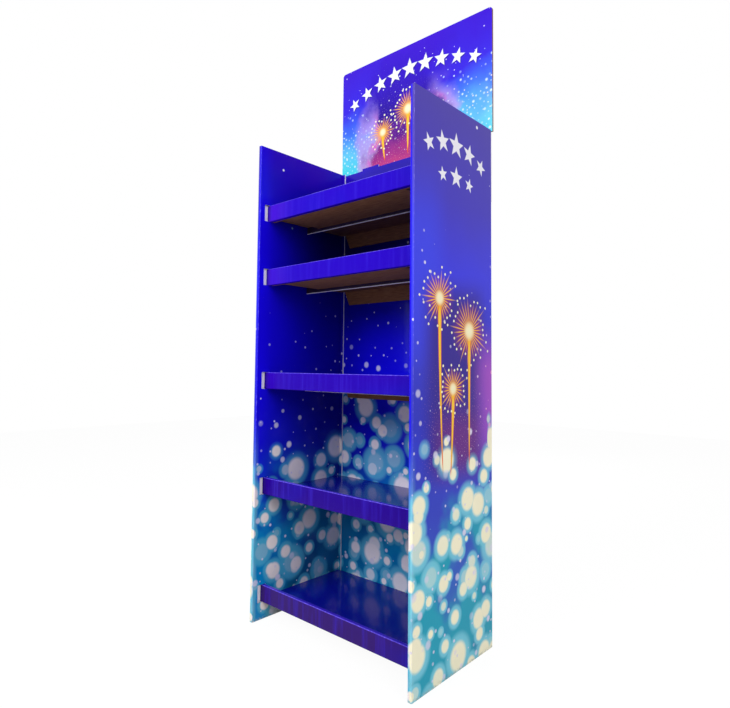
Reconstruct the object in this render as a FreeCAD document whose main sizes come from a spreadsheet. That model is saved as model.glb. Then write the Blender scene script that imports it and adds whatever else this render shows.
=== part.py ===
import FreeCAD, Part
import os
import Sketcher

# Cardboard display stand: two double side walls, a back panel, a header card and five tray shelves.
# Millimetres, X to the right, Y to the back, Z up; the origin is on the floor under the middle.

SIZES = [
    ("overall_width", 600, "outside, over both side walls"),
    ("wall_depth", 360, "front strip to rear fold of a side wall"),
    ("wall_height", 1430, "side walls, floor to top edge"),
    ("wall_thickness", 12, "width of the front strip that joins a wall's two skins"),
    ("wall_flange", 12, "glue flange turned in from the inner face over the back panel"),
    ("board", 3, "thickness of the corrugated board"),
    ("fold_radius", 2, "outer radius of a crease"),
    ("fit_gap", 0.3, "side clearance where board slides past board"),
    ("slot_play", 1, "room above a shelf's end tab in its slot"),
    ("slot_lead", 17, "open length of a slot in front of the end tab"),
    ("tab_reach", 8, "how far a lip's end tab enters the wall"),
    ("lip_recess", 35, "lip face behind the walls' front edge"),
    ("lip_height", 50, "face of the rolled lip"),
    ("lip_depth", 12, "front to rear skin of the rolled lip"),
    ("lip_return", 20, "strip folded back under the lip"),
    ("return_inset", 56, "deep part of that return, in from the walls' inner faces"),
    ("deck_drop", 36, "deck below the lip's top edge"),
    ("flange_height", 50, "rear flange, deck to lower edge"),
    ("flange_width", 542, "rear flange at the deck"),
    ("flange_taper", 21, "how much each end of the flange draws in"),
    ("bottom_lip_top", 100, "top edge of the lowest lip above the floor"),
    ("shelf_pitch", 317, "between the four lower shelves"),
    ("top_pitch", 198, "between the two upper shelves"),
    ("brace_height", 22, "cross brace under a deck"),
    ("brace_thickness", 4, "cross brace, front to rear"),
    ("brace_setback", 194, "brace behind the walls' front edge"),
    ("brace_reach", 6, "how far a brace's end enters the wall"),
    ("back_drop", 5, "hem below the side walls' top edges"),
    ("back_inset", 3, "back panel's side edge inside the walls' outer face"),
    ("hem_depth", 200, "hem folded down behind the back panel"),
    ("hem_gap", 0.6, "between the back panel and its hem"),
    ("back_tab_width", 73, "locking tab that stands up out of the hem"),
    ("back_tab_height", 7, "locking tab above the hem"),
    ("back_tab_offset", 160, "middle of a locking tab from the middle of the panel"),
    ("header_rise", 370, "header card above the side walls"),
    ("header_thickness", 6, "double board of the header card"),
    ("header_corner", 10, "rounded upper corners"),
    ("header_foot", 180, "foot glued behind the hem"),
    ("header_foot_inset", 13, "foot narrower than the card on each side"),
]

doc = FreeCAD.newDocument("display_stand")
sheet = doc.addObject("Spreadsheet::Sheet", "Sizes")
for row, (alias, value, note) in enumerate(SIZES, start=1):
    sheet.set("A%d" % row, alias)
    sheet.set("B%d" % row, str(value))
    sheet.set("C%d" % row, note)
    sheet.setAlias("B%d" % row, alias)
doc.recompute()

# Planes and levels that several pieces share, as expressions over the sheet.
BACK_STACK = "(2 * Sizes.board + Sizes.hem_gap + Sizes.header_thickness)"
WALL_FRONT = "(-(Sizes.wall_depth + %s) / 2)" % BACK_STACK
WALL_REAR = "((Sizes.wall_depth - %s) / 2)" % BACK_STACK
BACK_TOP = "(Sizes.wall_height - Sizes.back_drop)"
INNER_FACE = "(Sizes.overall_width / 2 - Sizes.wall_thickness)"
LIP_FRONT = "(%s + Sizes.lip_recess)" % WALL_FRONT
LIP_REAR = "(%s + Sizes.lip_depth)" % LIP_FRONT
BRACE_FRONT = "(%s + Sizes.brace_setback)" % WALL_FRONT
UNDER_DECK = "(Sizes.deck_drop + Sizes.board)"
LOWER_SHELVES = 4
LIP_TOPS = ["(Sizes.bottom_lip_top + %d * Sizes.shelf_pitch)" % i for i in range(LOWER_SHELVES)]
LIP_TOPS.append("(%s + Sizes.top_pitch)" % LIP_TOPS[-1])


def value_of(expression):
    """The number that an expression over the sheet has now."""
    return float(sheet.evalExpression(expression))


def add_body(label):
    """An empty body whose label names the node."""
    body = doc.addObject("PartDesign::Body", label)
    body.Label = label
    return body


def add_outline(body, name, plane, loops):
    """Closed loops of straight lines on one of the body's planes, every corner held by the sheet."""
    sketch = body.newObject("Sketcher::SketchObject", name)
    support = [feature for feature in body.Origin.OriginFeatures if feature.Role == plane][0]
    sketch.AttachmentSupport = (support, [""])
    sketch.MapMode = "FlatFace"
    for loop in loops:
        first = sketch.GeometryCount
        count = len(loop)
        spots = [FreeCAD.Vector(value_of(across), value_of(up), 0) for across, up in loop]
        for i in range(count):
            sketch.addGeometry(Part.LineSegment(spots[i], spots[(i + 1) % count]), False)
        for i in range(count):
            follower = first + (i + 1) % count
            sketch.addConstraint(Sketcher.Constraint("Coincident", first + i, 2, follower, 1))
        for i, (across, up) in enumerate(loop):
            for kind, expression in (("DistanceX", across), ("DistanceY", up)):
                held = Sketcher.Constraint(kind, -1, 1, first + i, 1, value_of(expression))
                index = sketch.addConstraint(held)
                sketch.setExpression("Constraints[%d]" % index, expression)
    return sketch


def add_pad(body, sketch, length, symmetric=False, reverse=False):
    """Board thickness or board length grown from an outline."""
    pad = body.newObject("PartDesign::Pad", sketch.Name + "_pad")
    pad.Profile = sketch
    pad.setExpression("Length", length)
    pad.SideType = "Symmetric" if symmetric else "One side"
    pad.Reversed = reverse
    pad.Refine = True
    doc.recompute()
    return pad


def add_pocket(body, sketch, length, reverse=False):
    """A cut from the sketch's plane into the body."""
    before = body.Shape.Volume
    pocket = body.newObject("PartDesign::Pocket", sketch.Name + "_cut")
    pocket.Profile = sketch
    pocket.setExpression("Length", length)
    pocket.Reversed = reverse
    pocket.Refine = True
    doc.recompute()
    if not pocket.Shape.Volume < before:
        raise RuntimeError("%s cuts nothing from %s" % (pocket.Label, body.Label))
    return pocket


def round_edges(body, name, direction, places, radius):
    """Rounds the straight edges that run along one axis through the given places on the other two."""
    base = body.Tip
    others = [axis for axis in range(3) if axis != direction]
    wanted = [[value_of(expression) for expression in place] for place in places]
    chosen = []
    for number, edge in enumerate(base.Shape.Edges, start=1):
        start = edge.Vertexes[0].Point
        end = edge.Vertexes[-1].Point
        middle = (start + end) / 2
        if abs(abs(end[direction] - start[direction]) - edge.Length) > 1e-6 or edge.Length < 1e-6:
            continue
        for place in wanted:
            if max(abs(middle[axis] - spot) for axis, spot in zip(others, place)) < 1e-4:
                chosen.append("Edge%d" % number)
    fillet = body.newObject("PartDesign::Fillet", name)
    fillet.Base = (base, chosen)
    fillet.setExpression("Radius", radius)
    doc.recompute()
    return fillet


def rectangle(low_across, high_across, low_up, high_up):
    """Corners of an upright rectangle."""
    return [
        (low_across, low_up),
        (high_across, low_up),
        (high_across, high_up),
        (low_across, high_up),
    ]


def make_side_wall(label, side):
    """One folded sheet: glue flange, inner skin, front strip, outer skin and rear strip; side is -1 or 1.

    Its own zero is the inner face, so that outward is side * x. The flange and the rear strip lie in one
    plane, against the back panel.
    """
    body = add_body(label)
    outer = "(%d * Sizes.wall_thickness)" % side
    flange_end = "(%d * Sizes.wall_flange)" % -side
    inner_back = "(%d * Sizes.board)" % side
    strip_end = "(%d * (Sizes.board + Sizes.fit_gap))" % side
    outer_back = "(%d * (Sizes.wall_thickness - Sizes.board))" % side
    flange_front = "(%s - Sizes.board)" % WALL_REAR
    strip_back = "(%s + Sizes.board)" % WALL_FRONT
    section = [
        (flange_end, flange_front),
        ("0", flange_front),
        ("0", WALL_FRONT),
        (outer, WALL_FRONT),
        (outer, WALL_REAR),
        (strip_end, WALL_REAR),
        (strip_end, flange_front),
        (outer_back, flange_front),
        (outer_back, strip_back),
        (inner_back, strip_back),
        (inner_back, WALL_REAR),
        (flange_end, WALL_REAR),
    ]
    sketch = add_outline(body, label + "_section", "XY_Plane", [section])
    add_pad(body, sketch, "Sizes.wall_height")
    creases = [("0", WALL_FRONT), (outer, WALL_FRONT), (outer, WALL_REAR), (inner_back, WALL_REAR)]
    round_edges(body, label + "_creases", 2, creases, "Sizes.fold_radius")

    # Each shelf has a slot for its lip's end tab and a smaller one for its brace.
    slots = []
    for top in LIP_TOPS:
        slots.append(rectangle(
            "(%s - Sizes.slot_lead)" % LIP_FRONT,
            "(%s + Sizes.fit_gap)" % LIP_REAR,
            "(%s - Sizes.lip_height)" % top,
            "(%s + Sizes.slot_play)" % top,
        ))
        slots.append(rectangle(
            "(%s - Sizes.fit_gap)" % BRACE_FRONT,
            "(%s + Sizes.brace_thickness + Sizes.fit_gap)" % BRACE_FRONT,
            "(%s - %s - Sizes.brace_height)" % (top, UNDER_DECK),
            "(%s - %s + Sizes.fit_gap)" % (top, UNDER_DECK),
        ))
    sketch = add_outline(body, label + "_slots", "YZ_Plane", slots)
    add_pocket(body, sketch, "Sizes.board", reverse=(side > 0))
    body.setExpression("Placement.Base.x", "%d * %s" % (side, INNER_FACE))
    return body


def make_back_panel():
    """One sheet glued behind the walls, its top hemmed down to the rear; zero is its front face."""
    body = add_body("back_panel")
    hem_front = "(Sizes.board + Sizes.hem_gap)"
    hem_rear = "(2 * Sizes.board + Sizes.hem_gap)"
    hem_end = "(%s - Sizes.hem_depth)" % BACK_TOP
    under_fold = "(%s - Sizes.board)" % BACK_TOP
    section = [
        ("0", "0"),
        ("Sizes.board", "0"),
        ("Sizes.board", under_fold),
        (hem_front, under_fold),
        (hem_front, hem_end),
        (hem_rear, hem_end),
        (hem_rear, BACK_TOP),
        ("0", BACK_TOP),
    ]
    sketch = add_outline(body, "back_section", "YZ_Plane", [section])
    add_pad(body, sketch, "Sizes.overall_width - 2 * Sizes.back_inset", symmetric=True)
    creases = [("0", BACK_TOP), (hem_rear, BACK_TOP)]
    round_edges(body, "back_creases", 0, creases, "Sizes.fold_radius")

    tabs = []
    for side in (-1, 1):
        middle = "%d * Sizes.back_tab_offset" % side
        tabs.append(rectangle(
            "(%s - Sizes.back_tab_width / 2)" % middle,
            "(%s + Sizes.back_tab_width / 2)" % middle,
            under_fold,
            "(%s + Sizes.back_tab_height)" % BACK_TOP,
        ))
    sketch = add_outline(body, "back_tabs", "XZ_Plane", tabs)
    add_pad(body, sketch, "Sizes.board", reverse=True)
    body.setExpression("Placement.Base.y", WALL_REAR)
    return body


def make_header_card():
    """Double board: a full-width card with rounded upper corners on a narrower glued foot."""
    body = add_body("header_card")
    half = "(Sizes.overall_width / 2)"
    foot_half = "(Sizes.overall_width / 2 - Sizes.header_foot_inset)"
    outline = [
        ("-" + foot_half, "-Sizes.header_foot"),
        (foot_half, "-Sizes.header_foot"),
        (foot_half, "0"),
        (half, "0"),
        (half, "Sizes.header_rise"),
        ("-" + half, "Sizes.header_rise"),
        ("-" + half, "0"),
        ("-" + foot_half, "0"),
    ]
    sketch = add_outline(body, "header_outline", "XZ_Plane", [outline])
    add_pad(body, sketch, "Sizes.header_thickness", reverse=True)
    corners = [(half, "Sizes.header_rise"), ("-" + half, "Sizes.header_rise")]
    round_edges(body, "header_corners", 1, corners, "Sizes.header_corner")
    body.setExpression("Placement.Base.y", "%s + 2 * Sizes.board + Sizes.hem_gap" % WALL_REAR)
    body.setExpression("Placement.Base.z", "Sizes.wall_height")
    return body


def make_shelf(label, top):
    """One folded sheet: deck, rolled lip with end tabs, tapered rear flange; zero is the lip's top."""
    body = add_body(label)
    deck = "(-Sizes.deck_drop)"
    under = "(-%s)" % UNDER_DECK
    face_back = "(%s + Sizes.board)" % LIP_FRONT
    skin_front = "(%s - Sizes.board)" % LIP_REAR
    bottom = "(-Sizes.lip_height)"
    above_bottom = "(Sizes.board - Sizes.lip_height)"
    deck_end = "(%s - Sizes.board - Sizes.fit_gap)" % WALL_REAR
    return_end = "(%s + Sizes.lip_return)" % LIP_FRONT

    section = [
        (deck_end, deck),
        (LIP_REAR, deck),
        (LIP_REAR, "0"),
        (LIP_FRONT, "0"),
        (LIP_FRONT, bottom),
        (return_end, bottom),
        (return_end, above_bottom),
        (face_back, above_bottom),
        (face_back, "-Sizes.board"),
        (skin_front, "-Sizes.board"),
        (skin_front, under),
        (deck_end, under),
    ]
    sketch = add_outline(body, label + "_section", "YZ_Plane", [section])
    add_pad(body, sketch, "2 * (%s - Sizes.fit_gap)" % INNER_FACE, symmetric=True)

    # Between its ends the return runs on under the deck to the brace and closes a shallow box.
    brace_side = "(%s - Sizes.fit_gap)" % BRACE_FRONT
    panel = [
        (brace_side, bottom),
        (LIP_REAR, bottom),
        (LIP_REAR, above_bottom),
        (brace_side, above_bottom),
    ]
    sketch = add_outline(body, label + "_return_panel", "YZ_Plane", [panel])
    add_pad(body, sketch, "2 * (%s - Sizes.return_inset)" % INNER_FACE, symmetric=True)

    # The lip alone runs on into the walls' slots.
    roll = [
        (LIP_REAR, under),
        (LIP_REAR, "0"),
        (LIP_FRONT, "0"),
        (LIP_FRONT, bottom),
        (LIP_REAR, bottom),
        (LIP_REAR, above_bottom),
        (face_back, above_bottom),
        (face_back, "-Sizes.board"),
        (skin_front, "-Sizes.board"),
        (skin_front, under),
    ]
    sketch = add_outline(body, label + "_end_tabs", "YZ_Plane", [roll])
    add_pad(body, sketch, "2 * (%s + Sizes.tab_reach)" % INNER_FACE, symmetric=True)

    # Between the walls' glue flanges the deck reaches the back panel and turns down against it.
    flange_front = "(%s - Sizes.board)" % WALL_REAR
    flange_bottom = "(-Sizes.deck_drop - Sizes.flange_height)"
    joined = "(%s - Sizes.board)" % deck_end
    turn = [
        (joined, deck),
        (WALL_REAR, deck),
        (WALL_REAR, flange_bottom),
        (flange_front, flange_bottom),
        (flange_front, under),
        (joined, under),
    ]
    sketch = add_outline(body, label + "_rear_flange", "YZ_Plane", [turn])
    add_pad(body, sketch, "Sizes.flange_width", symmetric=True)
    creases = [(LIP_FRONT, "0"), (LIP_REAR, "0"), (LIP_FRONT, bottom), (WALL_REAR, deck)]
    round_edges(body, label + "_creases", 0, creases, "Sizes.fold_radius")

    tapers = []
    for side in ("-", ""):
        end = "%s(Sizes.flange_width / 2)" % side
        drawn_in = "%s(Sizes.flange_width / 2 - Sizes.flange_taper)" % side
        tapers.append([(end, under), (end, flange_bottom), (drawn_in, flange_bottom)])
    sketch = add_outline(body, label + "_tapers", "XZ_Plane", tapers)
    add_pocket(body, sketch, WALL_REAR)
    body.setExpression("Placement.Base.z", top)
    return body


def make_brace(label, top):
    """A strip of board on edge, its upper edge against the deck and its ends in the walls' slots."""
    brace = doc.addObject("Part::Box", label)
    brace.Label = label
    brace.setExpression("Length", "2 * (%s + Sizes.brace_reach)" % INNER_FACE)
    brace.setExpression("Width", "Sizes.brace_thickness")
    brace.setExpression("Height", "Sizes.brace_height")
    brace.setExpression("Placement.Base.x", "-(%s + Sizes.brace_reach)" % INNER_FACE)
    brace.setExpression("Placement.Base.y", BRACE_FRONT)
    brace.setExpression("Placement.Base.z", "%s - %s - Sizes.brace_height" % (top, UNDER_DECK))
    return brace


nodes = [
    make_side_wall("left_side_wall", -1),
    make_side_wall("right_side_wall", 1),
    make_back_panel(),
    make_header_card(),
]
for number, lip_top in enumerate(LIP_TOPS, start=1):
    nodes.append(make_shelf("shelf_%d" % number, lip_top))
    nodes.append(make_brace("shelf_brace_%d" % number, lip_top))
doc.recompute()

for item in doc.Objects:
    if "Invalid" in item.State or "Error" in item.State:
        raise RuntimeError("%s did not recompute: %s" % (item.Label, item.State))
os.makedirs("parts", exist_ok=True)
for node in nodes:
    shape = node.Shape
    if shape.isNull() or not shape.isValid() or len(shape.Solids) != 1:
        raise RuntimeError("%s is not one valid solid" % node.Label)
    box = shape.BoundBox
    print(node.Label, "%.1f %.1f %.1f to %.1f %.1f %.1f" % (
        box.XMin, box.YMin, box.ZMin, box.XMax, box.YMax, box.ZMax), "%.0f mm3" % shape.Volume)
for node in nodes:
    node.Shape.exportStep("parts/%s.step" % node.Label)
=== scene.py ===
import math

import bpy
from mathutils import Matrix, Vector


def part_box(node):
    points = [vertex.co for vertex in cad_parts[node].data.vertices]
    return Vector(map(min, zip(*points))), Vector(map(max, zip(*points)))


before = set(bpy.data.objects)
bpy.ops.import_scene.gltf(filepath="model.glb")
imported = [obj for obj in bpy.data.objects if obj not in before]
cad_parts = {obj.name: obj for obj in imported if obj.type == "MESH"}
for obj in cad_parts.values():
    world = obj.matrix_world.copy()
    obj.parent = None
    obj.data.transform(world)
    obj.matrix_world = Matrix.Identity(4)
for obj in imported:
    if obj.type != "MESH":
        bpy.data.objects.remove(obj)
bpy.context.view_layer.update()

# Side walls. Each is one sheet of laminated corrugated board, creased round a narrow front strip into
# an outer and an inner skin, and glued at the rear to the back panel. The gloss print is on one side
# only, so the reverse shows white through the shelf slots and as fluted paper at every cut edge.

wall_low, wall_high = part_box("right_side_wall")
wall_front = wall_low[1]
wall_top = wall_high[2]
strip_width = 0.012
board = 0.003
inner_face = wall_high[0] - strip_width
flange_reach = 0.012
fold_round = 0.0025
flute_pitch = 0.0065


def ink(red, green, blue):
    """A printed colour from its usual 0 to 255 values."""
    shades = []
    for value in (red, green, blue):
        share = value / 255
        shades.append(share / 12.92 if share <= 0.04045 else ((share + 0.055) / 1.055) ** 2.4)
    return (*shades, 1.0)


class Signal:
    """One socket of a material's nodes. Arithmetic on it adds Math nodes."""

    def __init__(self, tree, socket=None):
        self.tree = tree
        self.socket = socket

    def node(self, kind, settings, values, out=0):
        """Adds a node, its settings first; out is one output, or several as a tuple."""
        made = self.tree.nodes.new("ShaderNode" + kind)
        for name, setting in settings.items():
            if name != "stops":
                setattr(made, name, setting)
                continue
            ramp = made.color_ramp
            ramp.elements.remove(ramp.elements[1])
            ramp.elements[0].position = setting[0][0]
            ramp.elements[0].color = setting[0][1]
            for place, colour in setting[1:]:
                ramp.elements.new(place).color = colour
        for key, value in values.items():
            if isinstance(value, Signal):
                self.tree.links.new(value.socket, made.inputs[key])
            else:
                made.inputs[key].default_value = value
        if isinstance(out, tuple):
            return [Signal(self.tree, made.outputs[name]) for name in out]
        return Signal(self.tree, made.outputs[out])

    def math(self, operation, first, second=0.0):
        return self.node("Math", {"operation": operation}, {0: first, 1: second})

    def vector(self, operation, other=(0.0, 0.0, 0.0), out=0):
        return self.node("VectorMath", {"operation": operation}, {0: self, 1: other}, out)

    def __add__(self, other):
        return self.math("ADD", self, other)

    def __radd__(self, other):
        return self.math("ADD", other, self)

    def __sub__(self, other):
        return self.math("SUBTRACT", self, other)

    def __rsub__(self, other):
        return self.math("SUBTRACT", other, self)

    def __mul__(self, other):
        return self.math("MULTIPLY", self, other)

    def __rmul__(self, other):
        return self.math("MULTIPLY", other, self)

    def __truediv__(self, other):
        return self.math("DIVIDE", self, other)

    def __gt__(self, other):
        return self.math("GREATER_THAN", self, other)

    def __lt__(self, other):
        return self.math("LESS_THAN", self, other)

    def __abs__(self):
        return self.math("ABSOLUTE", self)

    def over(self, other):
        """The larger of two masks."""
        return self.math("MAXIMUM", self, other)

    def step(self, start, end):
        """0 up to start and 1 from end, smooth between; it falls where start is the larger."""
        values = {"Value": self, "From Min": start, "From Max": end}
        return self.node("MapRange", {"interpolation_type": "SMOOTHSTEP"}, values)

    def split(self):
        return self.node("SeparateXYZ", {}, {0: self}, ("X", "Y", "Z"))

    def mix(self, mask, under, top):
        """Lays the colour top over the colour under where the mask says."""
        return self.node("Mix", {"data_type": "RGBA"}, {0: mask, 6: under, 7: top}, out=2)

    def ramp(self, stops):
        return self.node("ValToRGB", {"stops": stops}, {0: self})


def board_material(name, shine):
    """A new material with the board's surface: its shader, and a start for its nodes."""
    material = bpy.data.materials.new(name)
    material.use_nodes = True
    shader = material.node_tree.nodes["Principled BSDF"]
    shader.inputs["Specular IOR Level"].default_value = shine
    shader.inputs["Coat Roughness"].default_value = 0.08
    return material, shader, Signal(material.node_tree)


def feed(root, shader, values):
    """Links what varies over the surface to the shader's sockets."""
    for name, value in values.items():
        root.tree.links.new(value.socket, shader.inputs[name])


def surface(root):
    """The point's place, the same in its three parts, and the direction its face looks in."""
    place = root.node("TexCoord", {}, {}, "Object")
    facing = root.node("NewGeometry", {}, {}, "True Normal")
    return place, place.split(), facing.split()


def noise(root, place, scale, detail=2.0):
    return root.node("TexNoise", {}, {"Vector": place, "Scale": scale, "Detail": detail}, "Fac")


def turned(root, place, angle):
    return root.node("VectorRotate", {"rotation_type": "Z_AXIS"}, {"Vector": place, "Angle": angle})


def light_discs(root, sheet, cell, sizes, levels, shift, edge, rise=1.0, columns=0.0):
    """Out-of-focus lights, at most one to a square of the sheet, none above the second of the levels.

    The squares lean, and each light stands somewhere in its own; with columns they stand in uneven
    columns. Gives the discs, their glow and a random number for each.
    """
    lean = 0.5 + shift * 0.7
    values = {0: turned(root, sheet, -lean), 1: (1 / cell,) * 3, 2: (shift, shift, 0.0)}
    spot = root.node("VectorMath", {"operation": "MULTIPLY_ADD"}, values)
    index = spot.vector("FLOOR")
    dice = root.node("TexWhiteNoise", {"noise_dimensions": "2D"}, {"Vector": index}, "Color")
    chance, size, aside = dice.split()
    tint = root.math("FRACT", size * 13.7 + aside * 7.3)
    radius = (sizes[0] + size * (sizes[1] - sizes[0])) / cell
    room = (0.5 - radius * 1.3) * (0.4 + 0.6 * tint)
    swung = turned(root, root.node("CombineXYZ", {}, {0: room}), aside * (2 * math.pi))
    away = spot.vector("FRACTION").vector("DISTANCE", swung.vector("ADD", (0.5, 0.5, 0.0)), "Value")
    values = {0: index, 1: (cell,) * 3, 2: ((0.5 - shift) * cell, (0.5 - shift) * cell, 0.0)}
    home = turned(root, root.node("VectorMath", {"operation": "MULTIPLY_ADD"}, values), lean)
    level = (home.split()[1] / rise).step(levels[1], levels[0])
    if columns:
        band = noise(root, home.vector("MULTIPLY", (10.0, 4.4, 0.0)), 1.0, 1.0)
        level = level * (1 - columns * band.step(0.47, 0.34))
    lit = (level - chance).step(-0.02, 0.05)
    inside = 1 - away / (radius * lit + 0.001)
    return inside.step(0.0, edge), (inside + 0.3).step(0.0, 0.38), tint


def five_points(root, x, y, size):
    """A plain five-pointed star about the place where x and y are 0."""
    sector = 2 * math.pi / 5
    dip = 0.42
    turn = root.math("ARCTAN2", x, y)
    fold = abs(root.math("FLOORED_MODULO", turn + sector / 2, sector) - sector / 2)
    away = root.math("SQRT", x * x + y * y) / size
    along = away * root.math("COSINE", fold) - 1
    aside = away * root.math("SINE", fold)
    edge = along * (dip * math.sin(sector / 2)) - aside * (dip * math.cos(sector / 2) - 1)
    return edge.step(0.0, -0.05)


def star_arc(root, across, up, centre, radius, spread, count, size):
    """A row of stars along an arc; the middle ones are the largest."""
    x = across - centre[0]
    y = up - (centre[1] - radius)
    step = spread / radius
    turn = root.math("ARCTAN2", x, y)
    most = (count - 1) / 2
    index = root.math("MAXIMUM", root.math("MINIMUM", root.math("ROUND", turn / step), most), -most)
    local = turn - index * step
    away = root.math("SQRT", x * x + y * y)
    grown = size * (1 - abs(index) * (0.3 / most))
    aside = away * root.math("SINE", local)
    above = away * root.math("COSINE", local) - radius
    return five_points(root, aside, above, grown)


def firework(root, across, up, centre, radius, rays, seed):
    """A round burst of uneven rays with a spark at each tip: the rays, the sparks and the glow."""
    x = across - centre[0]
    y = up - centre[1]
    away = root.math("SQRT", x * x + y * y)
    turn = (root.math("ARCTAN2", x, y) + math.pi) * (rays / (2 * math.pi))
    index = root.math("FLOOR", turn)
    dice = root.node("TexWhiteNoise", {"noise_dimensions": "1D"}, {"W": index + seed}, "Value")
    reach = radius * (0.55 + 0.45 * dice)
    aside = abs(turn - index - 0.5) * away * (2 * math.pi / rays)
    line = aside.step(0.0022, 0.0006) * away.step(reach, reach * 0.5)
    beyond = away - reach
    spark = root.math("SQRT", beyond * beyond + aside * aside).step(0.0042, 0.0022)
    return line, spark, away.step(radius * 0.8, 0.0)


def rising_trail(root, across, up, top, foot, sway):
    """The thin curved streak below a burst: how far inside it a place is, from 0 at its edge."""
    share = (up - foot) / (top[1] - foot)
    middle = top[0] + sway * (1 - share) * (1 - share)
    inside = 1 - abs(across - middle) / (0.0016 + 0.0080 * share)
    return inside.step(0.0, 0.7) * share.step(0.0, 0.3) * share.step(1.05, 0.9)


def fireworks(root, colour, across, up, bursts, foot):
    """Golden bursts over their trails, printed over the ground colour."""
    for number, (centre, radius, rays, sway) in enumerate(bursts):
        line, spark, glow = firework(root, across, up, centre, radius, rays, number * 17.0)
        trail = rising_trail(root, across, up, centre, foot, sway)
        flame = root.mix(trail.step(0.35, 0.9), ink(236, 92, 30), ink(255, 206, 62))
        colour = root.mix(glow * 0.6, colour, ink(214, 70, 90))
        colour = root.mix(trail.step(0.0, 0.3), colour, flame)
        colour = root.mix(line, colour, ink(255, 188, 50))
        colour = root.mix(spark.over(glow.step(0.75, 1.0)), colour, ink(255, 246, 205))
    return colour


def glitter(root, colour, sheet, mask, tone, shift):
    """Fine bright specks strewn over part of the print."""
    speck, _, tint = light_discs(root, sheet, 0.0085, (0.0006, 0.0017), (3.0, 3.5), shift, 0.9)
    return root.mix(speck * mask * tint, colour, tone)


def night_lights(root, ground, sheet, tones, shift, rise=1.0):
    """The lights that fill the lower half of the print; tones are core, glow and small light.

    The large ones run together where they touch; the small ones lie between and above.
    """
    apart = 3.7
    discs = []
    glows = []
    large = [
        (0.130, (0.034, 0.050), (0.40, 0.58), 0.48),
        (0.102, (0.026, 0.041), (0.34, 0.62), 0.45),
        (0.070, (0.013, 0.028), (0.34, 0.70), 0.52),
    ]
    for number, (cell, sizes, levels, edge) in enumerate(large):
        disc, glow, tint = light_discs(root, sheet, cell, sizes, levels, shift + number * apart, edge,
                                       rise, 0.92)
        discs.append(disc * (0.5 + 0.5 * tint.step(0.0, 0.6)))
        glows.append(glow)
    core = discs[0].over(discs[1]).over(discs[2])
    halo = glows[0].over(glows[1]).over(glows[2])
    high = sheet.split()[1] / rise
    colour = root.mix(halo * (0.15 + 0.6 * high.step(0.58, 0.38)), ground, tones[1])
    colour = root.mix(core, colour, root.mix(core.step(0.25, 0.95), tones[1], tones[0]))
    small = [
        (0.080, (0.007, 0.014), (0.34, 0.95), 0.55),
        (0.045, (0.0024, 0.0056), (0.40, 1.15), 0.55),
    ]
    for number, (cell, sizes, levels, edge) in enumerate(small):
        place = shift + 9.0 + number * apart
        disc, _, tint = light_discs(root, sheet, cell, sizes, levels, place, edge, rise, 0.75)
        colour = root.mix(disc * (0.3 + 0.7 * tint), colour, tones[2])
    return colour


def lone_light(root, across, up, centre, radius):
    """One soft small light at a given place."""
    x = across - centre[0]
    y = up - centre[1]
    return root.math("SQRT", x * x + y * y).step(radius, radius * 0.5)


def clouds(root, ground, place, height, tone, top, shift=0.0):
    """Soft drifts of another ink, thicker towards the foot of the sheet."""
    moved = place.vector("ADD", (shift, shift, shift))
    drift = noise(root, moved, 6.5, 3.0) + (1 - height / top) * 0.16
    return root.mix(drift.step(0.50, 0.66) * height.step(top, top * 0.6), ground, tone)


def fluted_edge(root, thickness, along, paper, shadow):
    """A cut edge across the flutes: two flat papers with a waved one between; thickness runs 0 to 1."""
    wave = 0.5 + 0.33 * root.math("SINE", along * (2 * math.pi / flute_pitch))
    medium = abs(thickness - wave).step(0.17, 0.08)
    liner = abs(thickness - 0.5).step(0.36, 0.42)
    return root.mix(medium.over(liner), shadow, paper)


def board_relief(root, along, place):
    """Flutes that show faintly through the paper, and the slow waviness of glued board."""
    flutes = root.math("SINE", along * (2 * math.pi / flute_pitch))
    height = flutes * 0.00002 + noise(root, place, 9.0) * 0.0012
    return root.node("Bump", {}, {"Height": height, "Strength": 0.6, "Distance": 1.0}, "Normal")


def mottled(root, along, place, paper):
    """Uncoated paper: faint clouds, short fibres, and the flutes' ridges showing through."""
    cloud = noise(root, place, 5.0, 3.0).step(0.3, 0.75) * 0.10
    fibre = noise(root, place, 260.0, 2.0).step(0.45, 0.75) * 0.10
    ridge = (0.5 + 0.5 * root.math("SINE", along * (2 * math.pi / flute_pitch))) * 0.05
    return root.mix(cloud + fibre + ridge, paper, ink(150, 142, 150))


reverse_paper = ink(244, 240, 250)
kraft_paper = ink(176, 124, 80)
flute_shadow = ink(104, 84, 74)

material, shader, root = board_material("side_wall_print", 0.08)
place, (x, y, z), (look_x, look_y, look_z) = surface(root)
side = root.math("SIGN", x)
proud = abs(x) - inner_face
back_from_front = y - wall_front
on_outer = proud > strip_width / 2
across = proud + back_from_front * (2 * on_outer - 1)
height = z / wall_top
drift = (noise(root, place, 3.5) - 0.5) * 0.11

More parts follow.
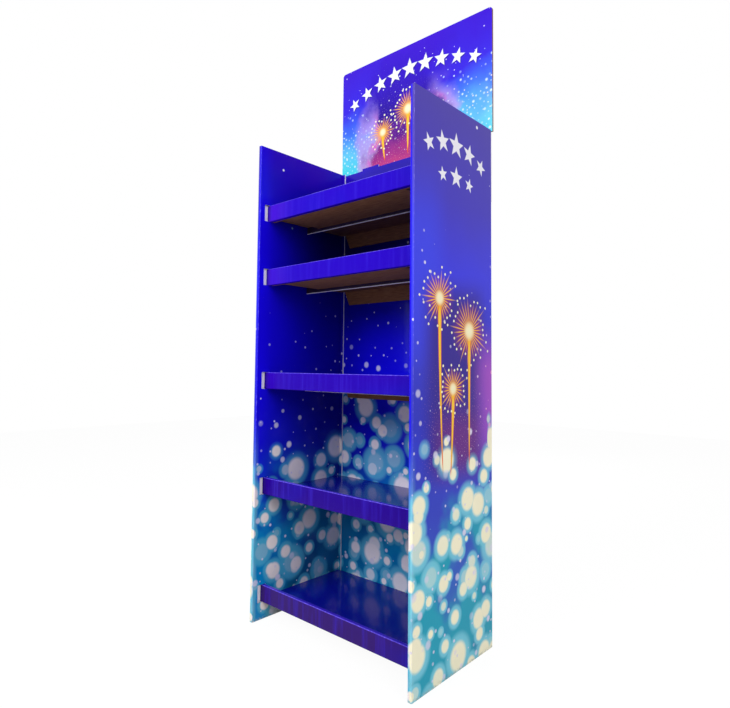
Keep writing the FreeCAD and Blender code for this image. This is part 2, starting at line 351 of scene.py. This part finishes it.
outer_ground = (height + drift).ramp([
    (0.00, ink(34, 140, 178)),
    (0.14, ink(44, 98, 196)),
    (0.27, ink(50, 66, 196)),
    (0.40, ink(46, 56, 204)),
    (0.52, ink(50, 48, 178)),
    (0.62, ink(56, 54, 212)),
    (0.70, ink(60, 58, 228)),
    (0.82, ink(68, 56, 190)),
    (1.00, ink(76, 62, 170)),
])
outer_ground = clouds(root, outer_ground, place, height, ink(16, 160, 188), 0.36)
near_front = abs(back_from_front - 0.02).step(0.14, 0.03) * abs(z - 0.95).step(0.35, 0.1)
outer_ground = root.mix(near_front * 0.7, outer_ground, ink(62, 72, 240))
picture_dusk = abs(y + 0.006).step(0.17, 0.08) * abs(z - 0.72).step(0.28, 0.18)
outer_ground = root.mix(picture_dusk * 0.9, outer_ground, ink(54, 34, 140))
rose = (y + drift * 0.4).step(0.06, 0.17) * abs(z - 0.67).step(0.22, 0.06)
outer_ground = root.mix(rose * 0.85, outer_ground, ink(178, 84, 204))
ember = abs(y - 0.01).step(0.15, 0.04) * abs(z - 0.56).step(0.12, 0.02)
outer_ground = root.mix(ember * 0.45, outer_ground, ink(140, 44, 120))
sheet = root.node("CombineXYZ", {}, {0: across, 1: z, 2: 0.0})
outer_ground = glitter(root, outer_ground, sheet, picture_dusk * z.step(0.80, 0.60),
                       ink(240, 170, 190), 3.0)
# The inner print is deeper; painted shade darkens it towards the back panel corner, most up high.
inner_ground = (height + drift).ramp([
    (0.00, ink(10, 110, 130)),
    (0.12, ink(10, 98, 186)),
    (0.26, ink(18, 66, 200)),
    (0.36, ink(18, 18, 206)),
    (0.50, ink(20, 5, 218)),
    (0.80, ink(20, 4, 216)),
    (0.93, ink(20, 3, 196)),
    (1.00, ink(48, 6, 192)),
])
inner_ground = clouds(root, inner_ground, place, height, ink(8, 140, 206), 0.36, 4.0)
# Painted shade: darker towards the rear and in the upper compartments, where the shelves keep light off.
painted_rear_shade = back_from_front.step(0.02, 0.30) * height.step(0.97, 0.86)
painted_rear_shade = painted_rear_shade * (0.42 + 0.36 * z.step(0.98, 1.10))
inner_ground = root.mix(painted_rear_shade, inner_ground, ink(4, 2, 54))
# Painted light: a lighter band along the front edge, where the open front lets the light in.
painted_front_light = back_from_front.step(0.06, 0.0)
inner_ground = root.mix(painted_front_light * 0.6 * height.step(0.2, 0.4), inner_ground, ink(26, 6, 246))

# One set of lights runs round the strip from face to face, warmer and higher on the outside.
tones = (
    root.mix(on_outer, ink(252, 240, 238), ink(255, 248, 216)),
    root.mix(on_outer, ink(84, 184, 218), ink(128, 212, 232)),
    root.mix(on_outer * rose, ink(226, 220, 244), ink(255, 170, 214)),
)
rise = 0.92 + on_outer * (0.08 + 0.16 * abs(y).step(0.09, 0.16))
ground = root.mix(on_outer, inner_ground, outer_ground)
# Pale cyan low on the front strip: partly the print's lights, partly painted highlight on the folds.
strip_lights_and_highlight = back_from_front.step(0.016, 0.0) * height.step(0.42, 0.20)
ground = root.mix(strip_lights_and_highlight * 0.6, ground, ink(150, 218, 230))
printed = night_lights(root, ground, sheet, tones, 0.0, rise)
bursts = [
    ((-0.080, 0.925), 0.086, 26, 0.018),
    ((0.056, 0.850), 0.112, 32, 0.0),
    ((-0.020, 0.700), 0.076, 24, -0.012),
]
pictured = fireworks(root, printed, y, z, bursts, 0.47)
stars = star_arc(root, y, z, (-0.006, 1.330), 0.30, 0.062, 5, 0.038)
stars = stars.over(star_arc(root, y, z, (-0.006, 1.246), 0.30, 0.062, 3, 0.032))
pictured = root.mix(stars, pictured, ink(240, 238, 248))
pictured = root.mix(lone_light(root, y, z, (0.096, 1.412), 0.006), pictured, ink(240, 240, 252))
printed = root.mix(lone_light(root, y, z, (-0.098, 1.376), 0.005), printed, ink(246, 244, 255))
printed = root.mix(on_outer, printed, pictured)

# Along the creases a broken light violet line: painted highlight on the fold crests, and print rubbed
# pale there.
near_crease = root.math("MINIMUM", abs(proud - strip_width), abs(proud))
crease_highlight_and_wear = near_crease.step(0.0014, 0.0002) * back_from_front.step(0.0022, 0.0008)
crease_breakup = noise(root, place, 90.0, 4.0).step(0.52, 0.68)
printed = root.mix(crease_highlight_and_wear * (0.10 + 0.45 * crease_breakup), printed, ink(160, 150, 236))
scuff = z.step(0.010, 0.0) * noise(root, place, 160.0, 3.0).step(0.42, 0.6)
printed = root.mix(scuff * 0.8, printed, ink(176, 186, 176))

# Print faces look out from the sheet; the reverse and the cut edges show where it was slotted.
faces_out = (look_x * side > 0.3) * (proud > strip_width - board / 2)
faces_in = (look_x * side < -0.3) * (proud < board / 2) * (proud > 0.001 - flange_reach)
faces_front = (look_y < -0.3) * (back_from_front < board / 2)
flange_face = (look_y < -0.3) * (proud < 0.0002) * (back_from_front > 0.1)
flange_face = flange_face * (proud > 0.0015 - flange_reach)
on_print = faces_out.over(faces_in).over(faces_front).over(flange_face)
rear_crease = (look_x * side > 0.02) * (proud > strip_width - fold_round)
front_crease = (look_y < -0.02) * (back_from_front < fold_round)
on_print = on_print.over(rear_crease).over(front_crease)
level_cut = abs(look_z) > 0.5
in_skin = root.math("FLOORED_MODULO", proud / board, 1.0)
in_strip = back_from_front / board
cut_across = root.mix(back_from_front < board, in_skin, in_strip)
fluted = fluted_edge(root, cut_across, y, reverse_paper, flute_shadow)
plain_board = root.mix(level_cut, mottled(root, y, place, reverse_paper), fluted)
colour = root.mix(on_print, plain_board, printed)
feed(root, shader, {
    "Base Color": colour,
    "Normal": board_relief(root, y, place),
    "Roughness": 0.75 - 0.47 * on_print,
    "Coat Weight": 0.12 * on_print,
})
for name in ("left_side_wall", "right_side_wall"):
    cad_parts[name].material_slots[0].material = material

# Back panel. One sheet of the same board with the night print on its front, hemmed over at the top,
# and glued to the walls' flanges and rear strips; its reverse is the plain white paper.

back_low, back_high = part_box("back_panel")
back_front = back_low[1]
back_rear = back_high[1]

material, shader, root = board_material("back_panel_print", 0.12)
place, (x, y, z), (look_x, look_y, look_z) = surface(root)
height = z / wall_top
drift = (noise(root, place, 3.5) - 0.5) * 0.11
# The deep band high up in this ramp is painted shade under the upper shelves; the rest is print.
ground = (height + drift).ramp([
    (0.00, ink(10, 124, 160)),
    (0.12, ink(6, 124, 200)),
    (0.24, ink(8, 94, 204)),
    (0.32, ink(10, 28, 224)),
    (0.42, ink(12, 5, 244)),
    (0.58, ink(16, 5, 248)),
    (0.66, ink(14, 5, 214)),
    (0.78, ink(6, 2, 110)),
    (0.90, ink(8, 2, 110)),
    (1.00, ink(36, 6, 186)),
])
ground = clouds(root, ground, place, height, ink(6, 148, 212), 0.36, 8.0)
# Painted shade over the panel's left side, below the top, where the left wall keeps light off.
shaded = x.step(0.12, -0.25) * height.step(0.95, 0.85)
ground = root.mix(shaded * 0.4, ground, ink(4, 2, 90))
sheet = root.node("CombineXYZ", {}, {0: x, 1: z, 2: 0.0})
tones = (ink(252, 244, 250), ink(92, 186, 222), ink(232, 226, 250))
printed = night_lights(root, ground, sheet, tones, 21.0, 1.30)
faces_front = (look_y < -0.3) * (y < back_front + board / 2)
hem_face = (look_y > 0.3) * (y > back_rear - fold_round)
top_fold = (look_z > 0.02) * (z > back_high[2] - 0.02)
edges = abs(look_x) > 0.5
on_print = faces_front.over(hem_face).over(top_fold) * (1 - edges)
fluted = fluted_edge(root, (y - back_front) / board, z, reverse_paper, flute_shadow)
plain_board = root.mix(abs(look_z) > 0.5, mottled(root, x, place, reverse_paper), fluted)
colour = root.mix(on_print, plain_board, printed)
feed(root, shader, {
    "Base Color": colour,
    "Normal": board_relief(root, x, place),
    "Roughness": 0.75 - 0.49 * on_print,
    "Coat Weight": 0.2 * on_print,
})
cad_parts["back_panel"].material_slots[0].material = material

# Header card. Thick double board, die-cut with rounded upper corners, its foot glued behind the hem.
# The print is a violet sky with an arc of stars over golden bursts, and frosted lights at the sides.

header_low, header_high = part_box("header_card")
header_front = header_low[1]
header_rear = header_high[1]
header_thickness = header_rear - header_front

material, shader, root = board_material("header_print", 0.08)
place, (x, y, z), (look_x, look_y, look_z) = surface(root)
cloud = noise(root, place, 7.0, 3.0)
rise = (z - wall_top + (cloud - 0.5) * 0.14) / (header_high[2] - wall_top)
sides = rise.ramp([
    (0.00, ink(70, 214, 232)),
    (0.20, ink(96, 196, 244)),
    (0.40, ink(60, 112, 246)),
    (0.62, ink(52, 30, 222)),
    (1.00, ink(56, 6, 206)),
])
dusk = rise.ramp([
    (0.00, ink(196, 60, 130)),
    (0.20, ink(92, 20, 140)),
    (0.45, ink(40, 6, 150)),
    (0.75, ink(48, 6, 196)),
    (1.00, ink(58, 8, 206)),
])
billow = noise(root, place, 16.0, 4.0)
centre = (abs(x + 0.02 + (cloud - 0.5) * 0.2) + (billow - 0.5) * 0.12).step(0.21, 0.10)
ground = root.mix(centre, sides, dusk)
rim = centre * (1 - centre) * rise.step(0.75, 0.3) * 4
ground = root.mix(rim * 0.6, ground, ink(206, 170, 250))
petal = abs(centre - 0.75).step(0.3, 0.0) * rise.step(0.6, 0.2) * billow.step(0.45, 0.6)
ground = root.mix(petal * 0.8, ground, ink(222, 84, 196))
sheet = root.node("CombineXYZ", {}, {0: x, 1: z, 2: 0.0})
frost, _, tint = light_discs(root, sheet, 0.017, (0.002, 0.0062), (1.50, 1.70), 5.0, 0.8)
ground = root.mix(frost * (1 - centre) * (0.25 + 0.6 * tint), ground, ink(226, 248, 255))
ground = glitter(root, ground, sheet, centre * rise.step(0.8, 0.2), ink(255, 200, 180), 2.0)
sparkle, _, tint = light_discs(root, sheet, 0.034, (0.0012, 0.0036), (1.45, 1.95), 9.0, 0.6)
ground = root.mix(sparkle * (0.4 + 0.6 * tint), ground, ink(246, 236, 255))
bursts = [
    ((-0.112, 1.540), 0.064, 26, 0.012),
    ((-0.006, 1.590), 0.082, 30, 0.0),
    ((0.100, 1.530), 0.058, 24, -0.012),
]
printed = fireworks(root, ground, x, z, bursts, 1.432)
stars = star_arc(root, x, z, (0.0, 1.722), 0.62, 0.062, 9, 0.037)
shadow = star_arc(root, x - 0.003, z + 0.004, (0.0, 1.722), 0.62, 0.062, 9, 0.037)
printed = root.mix(shadow * 0.6, printed, ink(24, 6, 110))
printed = root.mix(stars, printed, ink(244, 244, 250))
on_print = (look_y < -0.3) * (y < header_front + 0.0005)
reverse = look_y > 0.3
ply = (y - header_front) / (header_thickness / 2)
fluted = fluted_edge(root, root.math("FLOORED_MODULO", ply, 1.0), x + z, kraft_paper, flute_shadow)
plain_board = root.mix(reverse, fluted, mottled(root, x, place, reverse_paper))
colour = root.mix(on_print, plain_board, printed)
feed(root, shader, {
    "Base Color": colour,
    "Normal": board_relief(root, x, place),
    "Roughness": 0.72 - 0.5 * on_print,
    "Coat Weight": 0.15 * on_print,
})
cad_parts["header_card"].material_slots[0].material = material

# Shelves. Each is one folded sheet, gloss printed in plain violet blue on the outside and bare kraft
# underneath: a deck, a rolled lip whose ends lock into the wall slots, and a flange glued at the rear.

lip_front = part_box("shelf_1")[0][1]
lip_depth = 0.012
lip_rear = lip_front + lip_depth


def bare_kraft(root, x, y, z):
    """Unprinted brown paper with its grain along the stand's width."""
    along = root.node("CombineXYZ", {}, {0: x * 8, 1: y * 60, 2: z * 60})
    return noise(root, along, 4.0, 4.0).ramp([(0.3, ink(128, 84, 60)), (0.7, ink(158, 110, 78))])


material, shader, root = board_material("shelf_print", 0.05)
place, (x, y, z), (look_x, look_y, look_z) = surface(root)
# The lips' violet ink, darker and redder towards the floor: painted shade on the lower shelves.
lip_ink_and_painted_light = (z / wall_top).ramp([
    (0.00, ink(58, 30, 114)),
    (0.10, ink(56, 28, 120)),
    (0.28, ink(40, 2, 144)),
    (0.50, ink(42, 0, 176)),
    (0.74, ink(38, 0, 192)),
    (1.00, ink(36, 0, 196)),
])
# Broad bluer patches, and a purple cast towards the left end of the upper lips, are painted reflections.
painted_reflection_patches = noise(root, root.node("CombineXYZ", {}, {0: x * 5, 1: 0.0, 2: z * 4}), 1.0, 1.0)
lip_ink_and_painted_light = root.mix(painted_reflection_patches.step(0.5, 0.7) * 0.5, lip_ink_and_painted_light, ink(18, 22, 200))
lip_ink_and_painted_light = root.mix(x.step(-0.16, -0.29) * 0.55 * z.step(0.5, 1.2), lip_ink_and_painted_light, ink(88, 34, 206))
# Fine lighter vertical streaks are painted highlights off the wavy gloss.
painted_highlight_streaks = noise(root, root.node("CombineXYZ", {}, {0: x * 70, 1: 0.0, 2: z * 4}), 1.0, 3.0)
lip_ink_and_painted_light = root.mix(painted_highlight_streaks.step(0.45, 0.75) * 0.32, lip_ink_and_painted_light, ink(66, 44, 222))
deck_ink = (z / wall_top).ramp([(0.0, ink(10, 6, 150)), (1.0, ink(12, 4, 140))])
looks_up = look_z > 0.5
on_lip_top = looks_up * (y < lip_rear + 0.0005)
printed = root.mix(looks_up * (1 - on_lip_top), lip_ink_and_painted_light, deck_ink)
# The lip's top face is painted lighter and its rolled crest lighter still: painted highlight from above.
printed = root.mix(on_lip_top * 0.6, printed, ink(52, 30, 226))
painted_crest_highlight = (abs(look_y) > 0.12) * (look_z > 0.12) * (y < lip_rear + 0.0005)
printed = root.mix(painted_crest_highlight * (0.5 + 0.5 * noise(root, place, 120.0, 3.0).step(0.45, 0.6)),
                   printed, ink(112, 92, 244))
bare_under = (look_z < -0.5) * (y > lip_rear + 0.001)
bare_front = (look_y < -0.5) * (y > lip_front + board / 2)
cut_end = abs(look_x) > 0.5
bare = bare_under.over(bare_front)
fluted = fluted_edge(root, root.math("FLOORED_MODULO", z / board, 1.0), y, kraft_paper, flute_shadow)
colour = root.mix(bare, printed, bare_kraft(root, x, y, z))
colour = root.mix(cut_end, colour, fluted)
feed(root, shader, {
    "Base Color": colour,
    "Normal": board_relief(root, x, place),
    "Roughness": 0.22 + 0.58 * bare.over(cut_end),
    "Coat Weight": 0.55 * looks_up,
})
for number in range(1, 6):
    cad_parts["shelf_%d" % number].material_slots[0].material = material

# Braces. A strip of board on edge under each deck, its ends in the walls' slots. Its front face is
# painted near-black as painted shade in the recess under the deck, and the pale paper frays out along
# its lower edge.

brace_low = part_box("shelf_brace_5")[0]
lip_tops = [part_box("shelf_%d" % number)[1][2] for number in range(1, 6)]

material, shader, root = board_material("brace_board", 0.2)
shader.inputs["Roughness"].default_value = 0.7
place, (x, y, z), (look_x, look_y, look_z) = surface(root)
# Painted shade: the front face is near-black, the recess under the deck being dark.
colour = root.mix(look_y < -0.5, bare_kraft(root, x, y, z), ink(34, 16, 52))
ragged = 0.0019 + (noise(root, place, 70.0, 2.0) - 0.5) * 0.001
frayed = look_z < -0.5
for top in lip_tops:
    foot = z - (top - lip_tops[-1] + brace_low[2])
    frayed = frayed.over((foot < ragged) * (foot > -0.0005))
colour = root.mix(frayed, colour, ink(252, 246, 255))
feed(root, shader, {"Base Color": colour})
for number in range(1, 6):
    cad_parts["shelf_brace_%d" % number].material_slots[0].material = material

# Studio. A plain pale floor and soft light from the front and above. The floor and what is beyond it
# show white, and the floor keeps the stand's faint shadow.


def shows_white(root):
    """1 for rays that look at the backdrop, straight or by way of gloss or glass."""
    rays = root.node("LightPath", {}, {}, ("Is Camera Ray", "Is Glossy Ray", "Is Transmission Ray"))
    return rays[0].over(rays[1]).over(rays[2])


floor_mesh = bpy.data.meshes.new("floor")
reach = 6.0
floor_mesh.from_pydata(
    [(-reach, -reach, 0), (reach, -reach, 0), (reach, reach, 0), (-reach, reach, 0)], [], [(0, 1, 2, 3)])
floor = bpy.data.objects.new("floor", floor_mesh)
bpy.context.scene.collection.objects.link(floor)
floor_material = bpy.data.materials.new("floor")
floor_material.use_nodes = True
floor_shader = floor_material.node_tree.nodes["Principled BSDF"]
floor_shader.inputs["Base Color"].default_value = (0.5, 0.5, 0.5, 1.0)
floor_shader.inputs["Roughness"].default_value = 0.9
root = Signal(floor_material.node_tree)
white = root.node("Emission", {}, {"Color": (1.0, 1.0, 1.0, 1.0), "Strength": 1.1})
body = Signal(floor_material.node_tree, floor_shader.outputs[0])
mixed = root.node("MixShader", {}, {0: shows_white(root) * 0.86, 1: body, 2: white})
output = floor_material.node_tree.nodes["Material Output"]
floor_material.node_tree.links.new(mixed.socket, output.inputs["Surface"])
floor_mesh.materials.append(floor_material)

world = bpy.data.worlds.new("studio")
bpy.context.scene.world = world
world.use_nodes = True
root = Signal(world.node_tree)
background = world.node_tree.nodes["Background"]
background.inputs["Color"].default_value = (1.0, 1.0, 1.0, 1.0)
strength = 0.42 + 0.58 * shows_white(root)
world.node_tree.links.new(strength.socket, background.inputs["Strength"])

stand_middle = Vector((0.0, 0.0, 0.8))
lamps = [
    ("front", (-0.5, -2.9, 2.35), 1.6, 74.0),
    ("side", (3.2, -1.2, 2.0), 1.8, 56.0),
    ("rear", (-1.6, 3.0, 2.2), 1.6, 24.0),
]
for name, spot, size, power in lamps:
    lamp = bpy.data.lights.new(name, "AREA")
    lamp.size = size
    lamp.energy = power
    holder = bpy.data.objects.new(name, lamp)
    holder.location = spot
    holder.rotation_euler = (stand_middle - Vector(spot)).to_track_quat("-Z", "Y").to_euler()
    bpy.context.scene.collection.objects.link(holder)

# Camera. It stands to the right of the stand's front, at about half the stand's height, and looks
# slightly up. Its frame is the photograph's, with the horizon set a little off the middle.

image_width = 730
image_height = 708
focal_pixels = 566.4
horizon_pixels = 335.6
sensor_width = 36.0
camera_place = (1.0978, -1.2333, 0.7528)
heading = 42.19
upward = 3.18
sideways = 0.56
camera_data = bpy.data.cameras.new("camera")
camera_data.sensor_width = sensor_width
camera_data.lens = focal_pixels / image_width * sensor_width
camera_data.shift_y = (horizon_pixels - image_height / 2) / image_width
camera = bpy.data.objects.new("camera", camera_data)
turn = Matrix.Rotation(math.radians(heading), 4, "Z")
tilt = Matrix.Rotation(math.radians(90 + upward), 4, "X")
roll = Matrix.Rotation(math.radians(sideways), 4, "Z")
camera.matrix_world = Matrix.Translation(camera_place) @ turn @ tilt @ roll
bpy.context.scene.collection.objects.link(camera)
bpy.context.scene.camera = camera
bpy.context.scene.view_settings.view_transform = "Standard"
